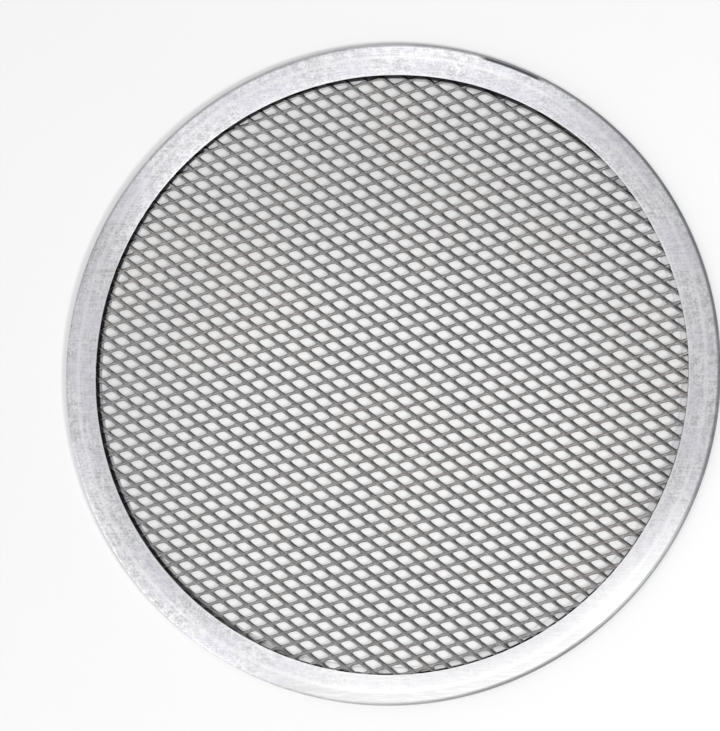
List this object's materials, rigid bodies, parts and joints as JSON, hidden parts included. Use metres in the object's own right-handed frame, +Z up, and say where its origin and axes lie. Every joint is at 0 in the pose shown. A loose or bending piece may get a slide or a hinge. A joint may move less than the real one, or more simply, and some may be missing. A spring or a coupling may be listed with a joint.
{
  "type": "pizza screen",
  "caption": "Round flat baking screen: a disc of open expanded metal mesh held in a narrow, flat folded rim with a rounded outer edge.",
  "frame": {"origin": "centre of the underside, on the surface that the screen lies on", "axes": "+Z up through the flat disc; the long way of the mesh openings runs about 10 degrees clockwise from +X, seen from above"},
  "size_m": [0.254, 0.254, 0.0028],
  "materials": {
    "mesh_metal": "bare expanded sheet, satin",
    "rim_metal": "bare rolled sheet, fine satin with faint scratches"
  },
  "bodies": {
    "root": {"mesh": "mesh_metal", "rim": "rim_metal"}
  },
  "joints": []
}
